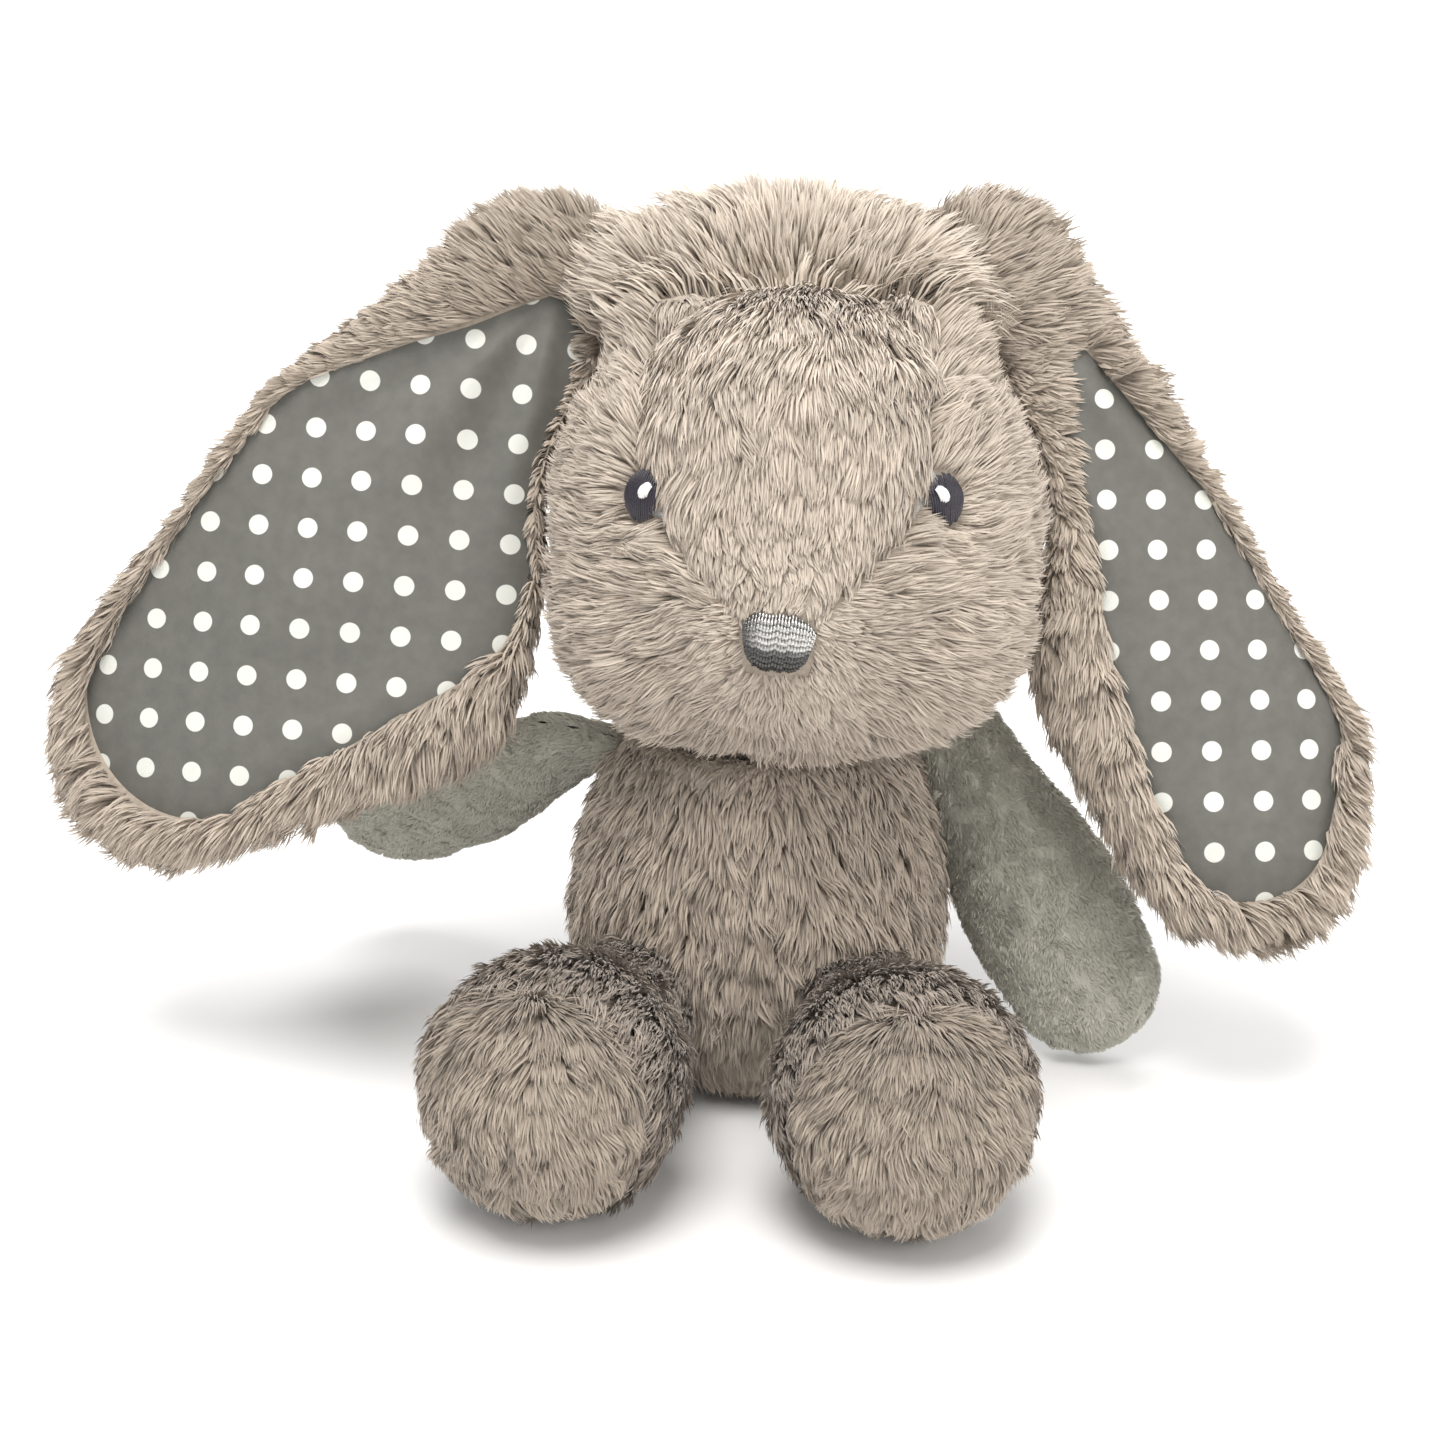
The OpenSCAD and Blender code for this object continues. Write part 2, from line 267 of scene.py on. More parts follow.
def merge(parts):
    """Joins (vertices, quads, tris, tone, tint) sets."""
    out, at = [[], [], [], [], []], 0
    for v, q, t, tone, tint in parts:
        for store, value in zip(out, (v, q + at, t + at, tone, tint)):
            store.append(value)
        at += len(v)
    return [np.concatenate(x) for x in out]


def cloth_set(v, t, tone):
    """A cloth as a set that merge can join to its pile."""
    return v, np.zeros((0, 4), int), t, np.full(len(v), tone), np.zeros(len(v))


def plush(name, skin, place, fur, materials, body, nodes):
    """One plush panel: its backing cloth and its pile, in one piece."""
    v, t = skin
    verts, quads, tris, tone, tint = merge([cloth_set(v, t, 0.0)] + fur)
    placed = place(verts)
    placed[:, 2] = np.maximum(placed[:, 2], ABOVE_FLOOR)
    ob = mesh_object(
        name,
        placed,
        quads,
        tris,
        materials,
        quad_mat=1,
        tri_mat=np.r_[np.zeros(len(t), int), np.ones(len(tris) - len(t), int)],
        attrs={"tone": tone, "tint": tint},
    )
    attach(ob, body)
    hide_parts(*nodes)
    return ob


# ---------------------------------------------------------------- materials


class Nodes:
    """A short way to build a material from nodes."""

    def __init__(self, name):
        self.m = bpy.data.materials.new(name)
        self.m.use_nodes = True
        self.t = self.m.node_tree
        self.p = next(n for n in self.t.nodes if n.type == "BSDF_PRINCIPLED")

    def add(self, kind, **inputs):
        n = self.t.nodes.new("ShaderNode" + kind)
        for key, value in inputs.items():
            if key.startswith("_"):
                setattr(n, key[1:], value)
            else:
                self.put(n.inputs[int(key[1:]) if key[1:].isdigit() else key.replace("_", " ")], value)
        return n

    def put(self, socket, value):
        if isinstance(value, bpy.types.NodeSocket):
            self.t.links.new(value, socket)
        else:
            socket.default_value = value

    def set(self, **inputs):
        for key, value in inputs.items():
            self.put(self.p.inputs[key.replace("_", " ")], value)
        return self.m

    def ramp(self, factor, stops):
        n = self.t.nodes.new("ShaderNodeValToRGB")
        while len(n.color_ramp.elements) < len(stops):
            n.color_ramp.elements.new(0.5)
        for e, (at, colour) in zip(n.color_ramp.elements, stops):
            e.position, e.color = at, (*colour, 1)
        self.put(n.inputs[0], factor)
        return n.outputs[0]

    def mix(self, factor, a, b, mode="MIX"):
        n = self.t.nodes.new("ShaderNodeMix")
        n.data_type, n.blend_type = "RGBA", mode
        self.put(n.inputs[0], factor)
        self.put(n.inputs[6], a)
        self.put(n.inputs[7], b)
        return n.outputs[2]

    def math(self, operation, a, b=None, c=None):
        n = self.t.nodes.new("ShaderNodeMath")
        n.operation = operation
        for i, value in enumerate((a, b, c)):
            if value is not None:
                self.put(n.inputs[i], value)
        return n.outputs[0]

    def attribute(self, name):
        n = self.t.nodes.new("ShaderNodeAttribute")
        n.attribute_name = name
        return n.outputs["Fac"]

    def coords(self):
        return self.t.nodes.new("ShaderNodeTexCoord").outputs["Object"]

    def noise(self, scale, detail=2.0, rough=0.5, vector=None):
        vector = vector or self.coords()
        n = self.add("TexNoise", Vector=vector, Scale=scale, Detail=detail, Roughness=rough)
        return n.outputs["Fac"]

    def grey(self, value):
        return self.add("CombineXYZ", X=value, Y=value, Z=value).outputs[0]

    def bump(self, height, strength, distance):
        return self.add("Bump", Height=height, Strength=strength, Distance=distance).outputs[0]


def fur_material(name, root, mid, tip):
    k = Nodes(name)
    # painted shade: the roots are darker than the tips, standing in for the shade deep in the pile
    colour = k.ramp(k.attribute("tone"), [(0.0, root), (0.5, mid), (1.0, tip)])
    tint = k.math("MULTIPLY_ADD", k.attribute("tint"), 0.09, 1.0)
    patch = k.math("MULTIPLY_ADD", k.noise(60.0, 3.0), 0.36, 0.82)
    return k.set(
        Base_Color=k.mix(1.0, colour, k.grey(k.math("MULTIPLY", tint, patch)), "MULTIPLY"),
        Roughness=0.78,
        Sheen_Weight=0.35,
        Sheen_Roughness=0.45,
        Specular_IOR_Level=0.25,
    )


FUR = fur_material("plush_pile", (0.42, 0.355, 0.29), (0.47, 0.40, 0.33), (0.53, 0.455, 0.38))
# painted light: a paler copy of the one pile for the face, standing in for the light from above
FUR_FACE_LIT = fur_material("plush_pile_face_lit", (0.48, 0.41, 0.34), (0.54, 0.465, 0.39), (0.60, 0.52, 0.44))
# painted light: the palest copy of the one pile, made for the crown and used on the tail too, standing in
# for the light from above
FUR_LIT = fur_material("plush_pile_lit", (0.53, 0.46, 0.385), (0.60, 0.525, 0.445), (0.67, 0.59, 0.505))
FUR_FEET = fur_material("plush_pile_feet", (0.32, 0.265, 0.21), (0.38, 0.32, 0.26), (0.44, 0.375, 0.31))
# painted shade: a darker copy of the one pile for the leg covers and the seat, standing in for the shade
# under the body
FUR_SHADED = fur_material("plush_pile_shaded", (0.24, 0.20, 0.165), (0.31, 0.26, 0.22), (0.38, 0.325, 0.275))


def backing_material(name, low, high):
    k = Nodes(name)
    knit = k.noise(900.0, 1.0)
    return k.set(
        Base_Color=k.ramp(knit, [(0.3, low), (0.7, high)]),
        Roughness=0.95,
        Normal=k.bump(knit, 0.4, 0.0003),
    )


# painted shade: the backing is darker than the pile, standing in for the shade at the bottom of the pile
BACKING = backing_material("plush_backing", (0.32, 0.27, 0.22), (0.40, 0.34, 0.28))
# painted light: a paler copy of the backing for the face's middle panel and the crown, lightening the shade
# under their pile
BACKING_LIT = backing_material("plush_backing_lit", (0.42, 0.36, 0.30), (0.52, 0.45, 0.38))


def lining_material():
    k = Nodes("dotted_lining")
    uv = k.add("UVMap", _uv_map="cloth").outputs[0]
    cell = k.add("VectorMath", _operation="FRACTION", i0=uv).outputs[0]
    off = k.add("VectorMath", _operation="SUBTRACT", i0=cell, i1=(0.5, 0.5, 0.0)).outputs[0]
    away = k.add("VectorMath", _operation="LENGTH", i0=off).outputs["Value"]
    edge = k.add("MapRange", Value=away, From_Min=0.205, From_Max=0.192, To_Min=0.0, To_Max=1.0, _clamp=True)
    dot = edge.outputs[0]
    mottle = k.noise(260.0, 4.0, 0.6)
    cloth = k.ramp(mottle, [(0.25, (0.115, 0.113, 0.100)), (0.75, (0.150, 0.148, 0.132))])
    weave_v = k.add("VectorMath", _operation="MULTIPLY", i0=uv, i1=(26.0, 26.0, 0.0)).outputs[0]
    sep = k.add("SeparateXYZ", Vector=weave_v)
    wx, wy = (k.math("SINE", k.math("MULTIPLY", sep.outputs[i], 6.2832)) for i in (0, 1))
    return k.set(
        Base_Color=k.mix(dot, cloth, (0.72, 0.73, 0.68, 1)),
        Roughness=k.math("MULTIPLY_ADD", dot, 0.15, 0.50),
        Sheen_Weight=0.25,
        Sheen_Roughness=0.4,
        Specular_IOR_Level=0.4,
        Normal=k.bump(k.math("MULTIPLY", wx, wy), 0.25, 0.0002),
    )


LINING = lining_material()


def minky_material():
    k = Nodes("minky_pile")
    brushed = k.add("Mapping", Vector=k.coords(), Scale=(1.0, 1.0, 0.35)).outputs[0]
    nap = k.noise(330.0, 4.0, 0.65, brushed)
    patch = k.noise(38.0, 2.0)
    shade = k.math("ADD", k.math("MULTIPLY", nap, 0.65), k.math("MULTIPLY", patch, 0.22))
    # painted shade: the fuzz roots are a little darker than the tips, standing in for the shade deep in the
    # pile
    tone = k.math("MULTIPLY_ADD", k.attribute("tone"), 0.12, 0.10)
    return k.set(
        Base_Color=k.ramp(
            k.math("ADD", shade, tone), [(0.3, (0.40, 0.39, 0.335)), (0.75, (0.55, 0.535, 0.465))]
        ),
        Roughness=0.85,
        Sheen_Weight=0.9,
        Sheen_Roughness=0.35,
        Specular_IOR_Level=0.2,
        Normal=k.bump(nap, 0.3, 0.0005),
    )


MINKY = minky_material()


def thread_material(name, low, high, metal=0.0, rough=0.4, shine=0.5, shaded=False):
    k = Nodes(name)
    fibre = k.noise(2600.0, 2.0)
    colour = k.ramp(fibre, [(0.3, low), (0.7, high)])
    # painted light and shade: the tone attribute multiplies the colour
    if shaded:
        colour = k.mix(1.0, colour, k.grey(k.attribute("tone")), "MULTIPLY")
    return k.set(
        Base_Color=colour,
        Metallic=metal,
        Roughness=k.math("MULTIPLY_ADD", fibre, 0.3, rough - 0.15),
        Specular_IOR_Level=shine,
        Normal=k.bump(fibre, 0.5, 0.0001),
    )


DARK = thread_material("eye_thread", (0.008, 0.006, 0.010), (0.035, 0.028, 0.045), rough=0.35, shine=0.6)
WHITE = thread_material("glint_thread", (0.72, 0.72, 0.70), (0.95, 0.95, 0.93), rough=0.4)
SILVER = thread_material(
    "silver_thread", (0.50, 0.49, 0.47), (0.95, 0.94, 0.91), metal=0.95, rough=0.30, shaded=True
)


def filling_material(name, low, high):
    k = Nodes(name)
    wool = k.noise(420.0, 5.0, 0.7)
    return k.set(
        Base_Color=k.ramp(wool, [(0.3, low), (0.7, high)]),
        Roughness=0.95,
        Normal=k.bump(wool, 0.8, 0.002),
    )


FILLING = filling_material("fibre_filling", (0.68, 0.68, 0.66), (0.88, 0.88, 0.86))
BEADS = filling_material("bead_plastic", (0.62, 0.62, 0.66), (0.86, 0.86, 0.90))


# ---------------------------------------------------------------- where things are


def at(node):
    lo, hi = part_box(node)
    return np.array(lo[:]) / MM, np.array(hi[:]) / MM


lo, hi = at("head_stuffing")
core_r = (hi[0] - lo[0]) / 2
HEAD = np.array([(lo[0] + hi[0]) / 2, (lo[1] + hi[1]) / 2, hi[2] - core_r])
SKIN_R = core_r + 1.3
FACE_TURN = -5.0
JOINTS = {j["name"]: np.array(j["pos_m"]) / MM for j in frame["record"]["behaviour"]["joints"]}


def head_place(v):
    return v @ rot("z", FACE_TURN).T + HEAD


# ---------------------------------------------------------------- head

MUZZLE, MUZZLE_R = np.array([0.0, -26.0, -8.0]), SKIN_R - 22.3
EYE_AT = {1: np.array([33.0, -36.0, 17.2]), -1: np.array([-27.0, -36.0, 15.9])}
NOSE_AT = np.array([0.0, -56.0, -7.8])
NECK_HOLE_R = 15.5
CROWN_X = (-31, -18, -5, 8, 21)  # the row of balls that makes the raised crown


def eye_spot(side):
    """The middle of an eye, on the head's cloth."""
    return unit(EYE_AT[side]) * SKIN_R


def eye_frame(side):
    """The directions out of an eye, to its right and up."""
    c = unit(EYE_AT[side])
    right = unit(np.cross([0, 0, 1.0], c))
    return c, right, np.cross(c, right)


def gusset_half(z):
    """Half the width of the centre panel of the face at a height."""
    return np.where(z > 18, 28.5, np.interp(z, [-3, 18], [9.0, 28.5]))


def head_surface(d):
    """Distance of the head's cloth from its middle in unit directions d."""
    balls = [(np.zeros(3), SKIN_R), (MUZZLE, MUZZLE_R)]
    for x in CROWN_X:
        balls.append((np.array([x, 24.9, 45.5 - 0.006 * (x + 5) ** 2]), 17.0 - 0.004 * (x + 5) ** 2))
    balls += [(np.array([s * 22, -16, -14]), SKIN_R - 24) for s in (-1, 1)]
    balls += [(np.array([s * 24.0, 6.0, 34.0]), 14.0) for s in (-1, 1)]
    reach = []
    for c, r in balls:
        b = d @ c
        q = b * b - (c @ c - r * r)
        reach.append(np.where(q > 0, b + np.sqrt(np.maximum(q, 0)), 0))
    rho = soft_max(np.stack(reach, -1), 1.6)
    p = d * rho[:, None]
    for s in (-1, 1):
        rho -= 1.6 * np.exp(-((np.linalg.norm(p - eye_spot(s), axis=1) / 7.0) ** 2))
    front = step(6, -4, p[:, 1])
    above = step(-8, 0, p[:, 2])
    rho -= 1.3 * front * above * np.exp(-(((np.abs(p[:, 0]) - gusset_half(p[:, 2])) / 2.2) ** 2))
    return rho


dirs, head_tris = ball(6)
head_v = dirs * head_surface(dirs)[:, None]
head_n = vertex_normals(head_v, head_tris)
mid = head_v[head_tris].mean(1)
in_front = mid[:, 1] < 4
# the opening in the underside that the neck passes through
whole = ~((mid[:, 2] < -30) & (np.hypot(mid[:, 0], mid[:, 1]) < NECK_HOLE_R))
in_gusset = in_front & (mid[:, 2] > -4) & (np.abs(mid[:, 0]) < gusset_half(mid[:, 2]))


def face_clear(p):
    """Where fur may grow: not on the eyes or the nose."""
    ok = np.ones(len(p), bool)
    for s in (-1, 1):
        c, right, up = eye_frame(s)
        r = p - c * SKIN_R
        ok &= ((r @ right) / 5.3) ** 2 + ((r @ up) / 5.7) ** 2 > 1
    q = p - NOSE_AT
    on_nose = (np.abs(q[:, 0]) < 7.0 + q[:, 2] * 0.12) & (q[:, 2] > -7.0) & (q[:, 2] < 6.6)
    return ok & ~(on_nose & (p[:, 1] < -30))


def head_panel(name, mask, count, nap_of, length_of, lift_of, seed, materials, **options):
    rng = np.random.default_rng(seed)
    v, t = keep_faces(head_v, head_tris, mask)
    p, n, area = sample(head_v, head_n, head_tris[mask], count, rng)
    ok = face_clear(p)
    p, n = p[ok], n[ok]
    fur = strands(p, n, nap_of(p, n), length_of(p), lift_of(p), rng, area, **options)
    return plush(name, (v, t), head_place, [fur], materials, "head", [name.replace("_plush", "")])


def eye_distance(p):
    return np.minimum(*(np.linalg.norm(p - eye_spot(s), axis=1) for s in (-1, 1)))


def nose_distance(p):
    return np.linalg.norm(p - NOSE_AT, axis=1)


def gusset_nap(p, n):
    return np.stack([-0.30 * p[:, 0], NOSE_AT[1] - p[:, 1], NOSE_AT[2] - 14 - p[:, 2]], -1)


def gusset_length(p):
    return 3.2 + 6.0 * step(10, 52, nose_distance(p)) + 1.2 * step(30, 48, p[:, 2])


def cheek_nap(p, n):
    away = p - np.array([0.0, -56.0, -2.0])
    away[:, 2] *= 0.75
    away[:, 2] -= 7.0 * step(-5, 30, p[:, 2]) + 2.0
    for s in (-1, 1):
        e = p - eye_spot(s)
        near = np.exp(-((np.linalg.norm(e, axis=1) / 9.0) ** 2))[:, None]
        away = away * (1 - near) + e * near * 3 + away * near * 0.35
    return away


def under_head(p):
    """Shortens the pile where the head sits over the body."""
    return 1 - 0.6 * step(-42, -48, p[:, 2])


def cheek_length(p):
    full = 2.6 + 6.4 * step(7, 34, nose_distance(p)) * (0.45 + 0.55 * step(4, 15, eye_distance(p)))
    return full * under_head(p)


def back_nap(p, n):
    fan = np.stack([p[:, 0] * 0.045 + 0.1, np.full(len(p), 0.30), np.full(len(p), 1.0)], -1)
    down = np.stack([p[:, 0] * 0.01, np.full(len(p), 0.15), np.full(len(p), -1.0)], -1)
    low = np.stack([p[:, 0] * 0.03, np.full(len(p), 0.8), np.full(len(p), -0.5)], -1)
    k = step(20, 34, p[:, 1])[:, None]
    h = step(22, 38, p[:, 2])[:, None]
    return (fan * (1 - k) + down * k) * h + low * (1 - h)


def back_length(p):
    high = step(30, 46, p[:, 2])
    return (8.0 + 3.0 * high + 4.5 * high * step(14, 30, np.abs(p[:, 0] + 5))) * under_head(p)


head_panel(
    "face_gusset_plush",
    in_gusset,
    int(24000 * DENSITY),
    gusset_nap,
    gusset_length,
    lambda p: 15 - 5 * step(20, 50, nose_distance(p)),
    11,
    [BACKING_LIT, FUR_FACE_LIT],
    width=0.50,
    pitch=3.6,
    pull=0.30,
    messy=6,
    curve=75.0,
)
for side, seed in ((1, 12), (-1, 13)):
    head_panel(
        "cheek_left_plush" if side > 0 else "cheek_right_plush",
        in_front & whole & ~in_gusset & ((mid[:, 0] > 0) == (side > 0)),
        int(36000 * DENSITY),
        cheek_nap,
        cheek_length,
        lambda p: 21 - 5 * step(20, 5, nose_distance(p)),
        seed,
        [BACKING, FUR_FACE_LIT],
        width=0.44,
        pitch=3.2,
        pull=0.36,
        messy=7,
    )
head_panel(
    "head_back_plush",
    ~in_front & whole,
    int(37000 * DENSITY),
    back_nap,
    back_length,
    lambda p: 30 + 12 * step(30, 50, p[:, 2]),
    14,
    [BACKING_LIT, FUR_LIT],
    width=0.55,
    pitch=3.6,
    pull=0.42,
    messy=9,
)


# ---------------------------------------------------------------- eyes and nose, in thread

EYE_THREAD_R, NOSE_THREAD_R = 0.36, 0.42


def threads(paths, radius, sides=6):
    """Thin tubes along paths: two arrays (threads, points, 3), the points and the ways out of the cloth."""
    line, out = paths
    n, k, _ = line.shape
    along = unit(np.gradient(line, axis=1))
    across = unit(np.cross(along, out))
    up = np.cross(across, along)
    a = np.arange(sides) * 2 * np.pi / sides
    taper = np.sin(np.linspace(0.12, np.pi - 0.12, k)) ** 0.35
    r = (np.broadcast_to(radius, (n,))[:, None] * taper)[:, :, None, None]
    circle = across[:, :, None] * np.cos(a)[:, None] + up[:, :, None] * np.sin(a)[:, None] * 0.8
    v = line[:, :, None] + r * circle
    base = np.arange(n)[:, None, None] * k * sides
    return v.reshape(-1, 3), (base + grid_quads(k, sides)).reshape(-1, 4)


def eye_threads(side, half_w, half_h, count, rise, slant, seed, centre=(0.0, 0.0)):
    """Upright satin stitches that fill an oval."""
    rng = np.random.default_rng(seed)
    c, right, up = eye_frame(side)
    x = np.linspace(-half_w, half_w, count + 2)[1:-1]
    h = half_h * np.sqrt(1 - (x / half_w) ** 2) * rng.uniform(0.94, 1.06, count)
    t = np.linspace(-1, 1, 11)
    u = x[:, None] + slant * t * h[:, None] + centre[0]
    w = t * h[:, None] + centre[1]
    bulge = rise * np.sqrt(np.clip(1 - (t * 0.92) ** 2, 0, 1))
    bulge = bulge * np.sqrt(np.clip(1 - (x / half_w * 0.85) ** 2, 0, 1))[:, None]
    flat = c * SKIN_R + right * u[..., None] + up * w[..., None]
    out = unit(flat)
    line = out * (SKIN_R + 0.5 + bulge)[..., None]
    return threads((line, out), EYE_THREAD_R)


for side, name in ((1, "left"), (-1, "right")):
    v, q = eye_threads(side, 4.3, 5.1, 17, 1.6, slant=side * 0.06, seed=20 + side)
    ob = mesh_object(f"eye_{name}_stitches", head_place(v), q, materials=[DARK])
    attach(ob, "head")
    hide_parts(f"eye_{name}")
    glint_at = (-side * 1.5, 1.1)
    v, q = eye_threads(side, 1.35, 1.75, 6, 1.0, slant=-side * 0.3, seed=30 + side, centre=glint_at)
    v = v + unit(v) * 1.15
    ob = mesh_object(f"eye_glint_{name}_stitches", head_place(v), q, materials=[WHITE])
    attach(ob, "head")
    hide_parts(f"eye_glint_{name}")


def nose_threads():
    """Upright satin stitches of the nose, with a tone of painted light: a painted highlight with glints on
    its upper part, a painted dark reflection on its lower part, and painted shade down one side.
    """
    rng = np.random.default_rng(41)
    count, k = 24, 41
    x0 = np.linspace(-1, 1, count)
    t = np.linspace(0, 1, k)
    top, bottom = 6.5, -6.5
    z = top + (bottom - top) * t
    half = 7.9 - 1.3 * t
    corner = 1 - 0.52 * np.abs(x0) ** 4
    x = x0[:, None] * half[None]
    zz = z[None] * corner[:, None] + rng.normal(0, 0.18, (count, 1))
    turn = math.radians(-8)
    x, zz = x * math.cos(turn) - zz * math.sin(turn), x * math.sin(turn) + zz * math.cos(turn)
    edge = np.clip(1 - np.abs(x0) ** 4, 0, 1)[:, None] ** 0.5
    edge = edge * np.clip(1 - np.abs(2 * t - 1) ** 4, 0, 1)[None] ** 0.5
    flat = np.stack([x, np.full_like(x, NOSE_AT[1]), zz + NOSE_AT[2]], -1)
    out = unit(flat - MUZZLE)
    twist = 0.16 * np.sin(t * 62 + x0[:, None] * 2.2 + rng.normal(0, 0.35, (count, 1)))
    line = MUZZLE + out * (MUZZLE_R + 0.9 + 2.4 * edge + twist)[..., None]
    sides = 8
    v, q = threads((line, out), NOSE_THREAD_R, sides)
    # painted highlight on the upper part of the lit side, with brighter glints on the twists; painted dark
    # reflection on the lower part; painted shade down the other side
    upper = step(0.66, 0.46, t)[None]
    lit = step(-0.95, -0.35, x0)[:, None]
    tone = np.clip(0.15 + upper * (0.07 + 0.43 * lit) + 0.34 * upper * lit * twist / 0.16, 0.06, 1)
    return v, q, np.repeat(np.broadcast_to(tone, (count, k)).ravel(), sides)


v, q, tone = nose_threads()
ob = mesh_object("nose_stitches", head_place(v), q, materials=[SILVER], attrs={"tone": tone})
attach(ob, "head")
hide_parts("nose")


# ---------------------------------------------------------------- torso

torso_lo, torso_hi = at("torso_front")
torso_r = (torso_hi[0] - torso_lo[0]) / 2 - 1.6
torso_top = max(torso_hi[2], at("torso_back")[1][2])
TORSO_AROUND, SEAT_AROUND, SEAT_STRANDS = 128, 72, 4000


def torso_radius(t):
    seat, neck = torso_r - 13.5, torso_r - 12
    s = np.sin(np.pi * np.clip(t, 0, 1) ** 0.72)
    return seat + (torso_r - seat) * np.clip(s, 0, 1) ** 0.85 + (neck - seat) * t * t


rings = np.linspace(0, 1, 70)
radius = np.r_[0.01, torso_radius(rings) * np.minimum(1, 0.86 + rings * 3), 0.01]
height = np.r_[1.2, 1.2 + rings * (torso_top - 1.2), torso_top - 1]
torso_v, torso_tris = revolved(radius, height, TORSO_AROUND)
lump = waves(torso_v, 5, 42) * 1.1
off_axis = np.maximum(np.linalg.norm(torso_v[:, :2], axis=1), 5)
torso_v[:, :2] *= (1 + lump * step(4, 20, torso_v[:, 2]) / off_axis)[:, None]
torso_n = vertex_normals(torso_v, torso_tris)
if (torso_n[40 * TORSO_AROUND] @ torso_v[40 * TORSO_AROUND]) < 0:
    torso_tris = torso_tris[:, ::-1]
    torso_n = -torso_n
torso_mid = torso_v[torso_tris].mean(1)


def torso_nap(p, n):
    return np.stack([p[:, 0] * 0.004, p[:, 1] * 0.004, np.full(len(p), -1.0)], -1)


for name, mask, count, seed in (
    ("torso_front", torso_mid[:, 1] < 0, 38000, 21),
    ("torso_back", torso_mid[:, 1] >= 0, 27000, 22),
):
    rng = np.random.default_rng(seed)
    mask = mask & (torso_mid[:, 2] > 1.6)
    v, t = keep_faces(torso_v, torso_tris, mask)
    p, n, area = sample(torso_v, torso_n, torso_tris[mask], int(count * DENSITY), rng)
    keep = p[:, 2] > 3
    p, n = p[keep], n[keep]
    length = (7.6 * step(-4, 12, p[:, 2]) + 0.6) * (1 - 0.6 * step(torso_top - 9, torso_top - 3, p[:, 2]))
    fur = strands(p, n, torso_nap(p, n), length, 24.0, rng, area, width=0.54, pitch=3.0, pull=0.45, messy=9)
    plush(name + "_plush", (v, t), lambda x: x, [fur], [BACKING, FUR], "torso", [name])

seat_lo, seat_hi = at("seat_panel")
seat_r = (seat_hi[0] - seat_lo[0]) / 2
rr = np.linspace(0, 1, 24)
seat_v, seat_t = revolved(
    np.r_[rr[1:] * seat_r, seat_r * 0.99, seat_r * 0.9, 0.01],
    np.r_[0.3 + 0 * rr[1:], 1.4, 2.6, 2.8],
    SEAT_AROUND,
)
seat_v = np.vstack([seat_v, [[0, 0, 0.3]]])
hub = len(seat_v) - 1
ring = np.arange(SEAT_AROUND)
seat_t = np.vstack([seat_t, np.stack([np.full(SEAT_AROUND, hub), (ring + 1) % SEAT_AROUND, ring], -1)])
rng = np.random.default_rng(23)
a = rng.random(SEAT_STRANDS) * 2 * np.pi
r = np.sqrt(rng.random(SEAT_STRANDS)) * seat_r * 0.98
p = np.stack([r * np.cos(a), r * np.sin(a), np.full(SEAT_STRANDS, 0.9)], -1)
n = np.tile([0, 0, -1.0], (SEAT_STRANDS, 1))
nap = np.tile([0, 1.0, 0], (SEAT_STRANDS, 1))
fur = strands(p, n, nap, 3.0, 2.0, rng, np.pi * seat_r**2, width=0.4, pitch=2.4)
fur[0][:, 2] = np.maximum(fur[0][:, 2], 0.05)
# the seat's pile is the painted-shade copy
plush("seat_panel_plush", (seat_v, seat_t), lambda x: x, [fur], [BACKING, FUR_SHADED], "torso", ["seat_panel"])

# ---------------------------------------------------------------- tail

tail_lo, tail_hi = at("tail")
tail_c, tail_r = (tail_lo + tail_hi) / 2, (tail_hi[2] - tail_lo[2]) / 2
d4, t4 = ball(4)
tail_v = d4 * (tail_r - 3.0)
rng = np.random.default_rng(24)
p, n, area = sample(tail_v, d4, t4, int(11000 * DENSITY), rng)
nap = p + np.array([0, 10.0, -9.0])
fur = strands(p, n, nap, 7.0, 46.0, rng, area, width=0.45, pitch=2.3, pull=0.5, curve=40, messy=16)
plush("tail_plush", (tail_v, t4), lambda x: x + tail_c, [fur], [BACKING, FUR_LIT], "torso", ["tail"])


# ---------------------------------------------------------------- legs

FOOT_R, LEG_LEN, HIP_R, SOLE, LEG_AROUND = 27.0, 48.0, 15.0, 9.0, 96


def leg_surface():
    """Rings along the leg: its narrow top, the ball of the foot, and the sole's dome past a seam groove."""
    r_foot = FOOT_R - 1.8
    y = []
    for s in np.linspace(-HIP_R + 3.2, LEG_LEN - 16, 26):
        y.append((s, np.interp(s, [-12, -6, 0, 12, 31], [0.5, 9.5, 12.0, 13.5, 17.0])))
    start = math.acos(-0.66)
    for a in np.linspace(start, 0.02, 60):
        s, r = LEG_LEN + r_foot * math.cos(a), r_foot * math.sin(a)
        depth = s - (LEG_LEN + SOLE)
        r -= 1.4 * math.exp(-((depth / 1.7) ** 2))
        if depth > 0:
            s += 1.2 * math.sin(min(depth / (r_foot - SOLE), 1) * math.pi * 0.5)
        y.append((s, max(r, 0.01)))
    y = np.array(y)
    v, t = revolved(y[:, 1], y[:, 0], LEG_AROUND)
    v += np.stack([waves(v, 6, 30), waves(v, 7, 30), np.zeros(len(v))], -1) * 0.5
    return v, t


def leg_frame(side):
    hip = JOINTS["leg_left_splay" if side > 0 else "leg_right_splay"]
    out = 8.0 if side > 0 else 21.0
    m = rot("z", side * out) @ rot("x", -3.0) @ rot("x", 90.0)
    return hip, m


